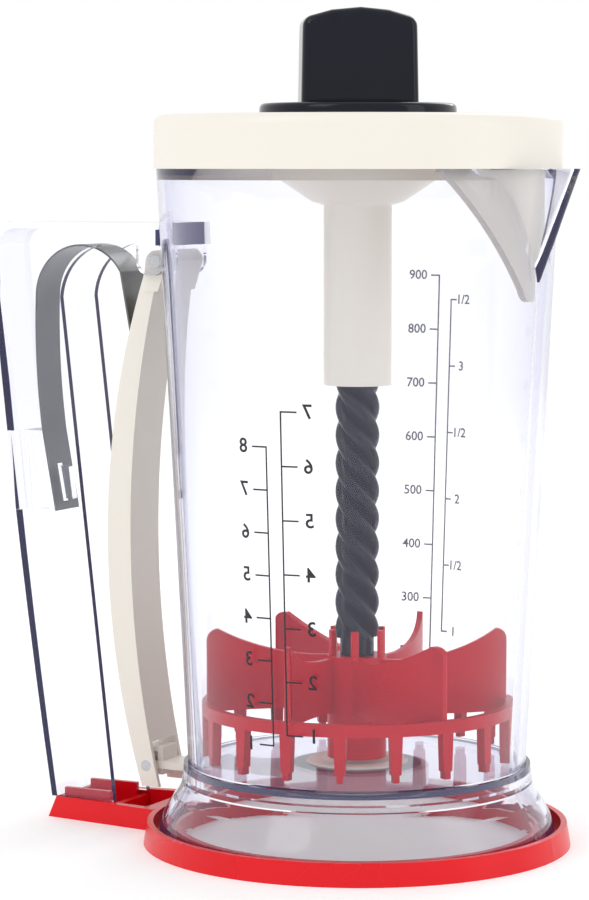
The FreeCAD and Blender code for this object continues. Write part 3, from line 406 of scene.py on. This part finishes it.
# The knob, its retainer and the spiral rod: near-black navy plastic, moulded and polished,
# with fine handling marks drawn out upwards. The knob is a tapered grip with an arched top
# and rounded shoulders on a thin disc, and it turns freely on the rod.
def navy_gloss(wire):
    marks = wire.noise(scale=240.0, detail=4.0, stretch=(1.0, 1.0, 0.25))
    return {
        "Base Color": marks.blend((0.002, 0.003, 0.009, 1.0), (0.004, 0.005, 0.014, 1.0)),
        "Roughness": marks.between(0.06, 0.16),
        "Normal": marks.relief(height=0.000008),
    }


navy = finish("navy_gloss", navy_gloss, Specular_IOR_Level=0.25)
dress(navy, "knob", "knob_retainer", "spiral_rod")

LID_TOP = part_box("lid")[1].z
KNOB_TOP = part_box("knob")[1].z
GRIP_LONG = 0.0306
GRIP_WIDE = 0.0164
GRIP_LIFT = 0.0004
GRIP_TURN = math.radians(31.0)
MIDDLE_SWELL = 0.17
UPWARD_TAPER = 0.035
ARCH_FROM = 0.9
ARCH_DROP = 0.0027
SHOULDER_ROUND = 0.0021
DISC_RADIUS_LOW = 0.0258
DISC_RADIUS_HIGH = 0.0256
DISC_THICK = 0.0028
DISC_LIFT = 0.0002
LIP_ABOVE = 0.002
LIP_ROUND = 0.0012
CORNER_ANGLE = 0.6
CREASE_ANGLE = math.radians(38.0)

grip = bmesh.new()
block = bmesh.ops.create_cube(grip, size=1.0)["verts"]
bmesh.ops.scale(grip, verts=block, vec=(GRIP_LONG, GRIP_WIDE, KNOB_TOP - LID_TOP - GRIP_LIFT))
block_middle = (KNOB_TOP + LID_TOP + GRIP_LIFT) / 2.0
bmesh.ops.translate(grip, verts=block, vec=Vector((0.0, 0.0, block_middle)))
bmesh.ops.subdivide_edges(grip, edges=grip.edges[:], cuts=3, use_grid_fill=True)
for vert in grip.verts:
    across = vert.co.x / (GRIP_LONG / 2.0)
    up = (vert.co.z - LID_TOP) / (KNOB_TOP - LID_TOP)
    vert.co.y *= 1.0 + MIDDLE_SWELL * (1.0 - abs(across))
    if up > ARCH_FROM:
        vert.co.z -= ARCH_DROP * across * across
    vert.co.x *= 1.0 - UPWARD_TAPER * up
    vert.co.y *= 1.0 - UPWARD_TAPER * up
bmesh.ops.recalc_face_normals(grip, faces=grip.faces[:])
corners = [edge for edge in grip.edges if edge.calc_face_angle(0.0) > CORNER_ANGLE]
bmesh.ops.bevel(
    grip, geom=corners, offset=SHOULDER_ROUND, offset_type="OFFSET", segments=5, profile=0.5,
    affect="EDGES", material=-1, clamp_overlap=True,
)
disc = bmesh.ops.create_cone(
    grip, cap_ends=True, cap_tris=False, segments=96,
    radius1=DISC_RADIUS_LOW, radius2=DISC_RADIUS_HIGH, depth=DISC_THICK,
)["verts"]
disc_middle = LID_TOP + DISC_LIFT + DISC_THICK / 2.0
bmesh.ops.translate(grip, verts=disc, vec=Vector((0.0, 0.0, disc_middle)))
lip = [
    edge for edge in {edge for vert in disc for edge in vert.link_edges}
    if min(vert.co.z for vert in edge.verts) > LID_TOP + LIP_ABOVE
]
bmesh.ops.bevel(
    grip, geom=lip, offset=LIP_ROUND, offset_type="OFFSET", segments=4, profile=0.5,
    affect="EDGES", material=-1, clamp_overlap=True,
)
turn_about_rod = Matrix.Rotation(GRIP_TURN, 3, "Z")
bmesh.ops.rotate(grip, verts=grip.verts[:], cent=(0.0, 0.0, 0.0), matrix=turn_about_rod)
for face in grip.faces:
    face.smooth = True
shape = bpy.data.meshes.new("knob_grip")
grip.to_mesh(shape)
grip.free()
shape.set_sharp_from_angle(angle=CREASE_ANGLE)
shape.materials.append(navy)
knob = bpy.data.objects.new("knob_grip", shape)
bpy.context.scene.collection.objects.link(knob)
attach(knob, "pull_knob")
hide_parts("knob")


# The whisk: bright red plastic with a soft gloss, moulded in one with its vanes and its
# comb, and screwed to the rod. The faces show faint flow bands and shallow waves.
def whisk_plastic(wire):
    flow = wire.noise(scale=40.0, detail=3.0, stretch=(1.0, 1.0, 3.0))
    return {
        "Base Color": flow.blend((0.66, 0.001, 0.007, 1.0), (0.80, 0.004, 0.012, 1.0)),
        "Roughness": flow.between(0.25, 0.4),
        "Normal": flow.relief(height=0.00002),
    }


dress(finish("whisk_plastic", whisk_plastic, Specular_IOR_Level=0.2), "whisk")


# The small steel parts: the trigger's two pins, the rod's clip and the whisk's screw. They
# are bright steel with fine drawn marks, which run along the two pins.
def turned_steel(wire):
    drawn = wire.noise(scale=2200.0, detail=2.0, stretch=(1.0, 0.08, 1.0))
    return {
        "Base Color": drawn.blend((0.42, 0.43, 0.45, 1.0), (0.58, 0.59, 0.61, 1.0)),
        "Roughness": drawn.between(0.2, 0.36),
    }


steel = finish("turned_steel", turned_steel, Metallic=1.0)
dress(steel, "lever_pin", "gate_pin", "rod_clip", "whisk_screw")


# The strap spring: a dark grey rolled steel strip, brushed along its length, whose slotted
# end sits on a peg in the handle. Its own piece stands for the rigid strip, because its
# free end follows the trigger, and it is cut into rows across its length.
FIRST_ROW = -0.0875
ROW_STEP = 0.0025
ROWS = 9


def strap_steel(wire):
    brushed = wire.noise(scale=1500.0, detail=3.0, stretch=(0.3, 3.0, 0.12))
    worn = wire.noise(scale=60.0, detail=3.0)
    return {
        "Base Color": worn.blend((0.10, 0.102, 0.105, 1.0), (0.20, 0.202, 0.206, 1.0)),
        "Roughness": brushed.between(0.24, 0.44),
        "Normal": brushed.relief(height=0.00001),
    }


strap = bmesh.new()
strap.from_mesh(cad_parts["leaf_spring"].data)
bmesh.ops.remove_doubles(strap, verts=strap.verts[:], dist=SAME_POINT)
for row in range(ROWS):
    cut_at = (FIRST_ROW + ROW_STEP * row, 0.0, 0.0)
    everything = strap.verts[:] + strap.edges[:] + strap.faces[:]
    bmesh.ops.bisect_plane(strap, geom=everything, plane_co=cut_at, plane_no=(1.0, 0.0, 0.0))
strip = bpy.data.meshes.new("strap_spring")
strap.to_mesh(strip)
strap.free()
strip.materials.clear()
strip.materials.append(finish("strap_steel", strap_steel, Metallic=1.0))
spring = bpy.data.objects.new("strap_spring", strip)
bpy.context.scene.collection.objects.link(spring)
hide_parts("leaf_spring")
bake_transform(spring)


# The seals of the outlet, the jug's floor and the lid: soft grey food-grade rubber, matt,
# with a dusty bloom. Each is one moulding, and sits against the face that it seals.
def soft_rubber(wire):
    bloom = wire.noise(scale=300.0, detail=3.0)
    return {
        "Base Color": bloom.blend((0.42, 0.41, 0.385, 1.0), (0.52, 0.51, 0.48, 1.0)),
        "Roughness": bloom.between(0.6, 0.8),
        "Normal": bloom.relief(height=0.00002),
    }


dress(finish("soft_rubber", soft_rubber), "gate_seal", "floor_seal", "lid_seal")
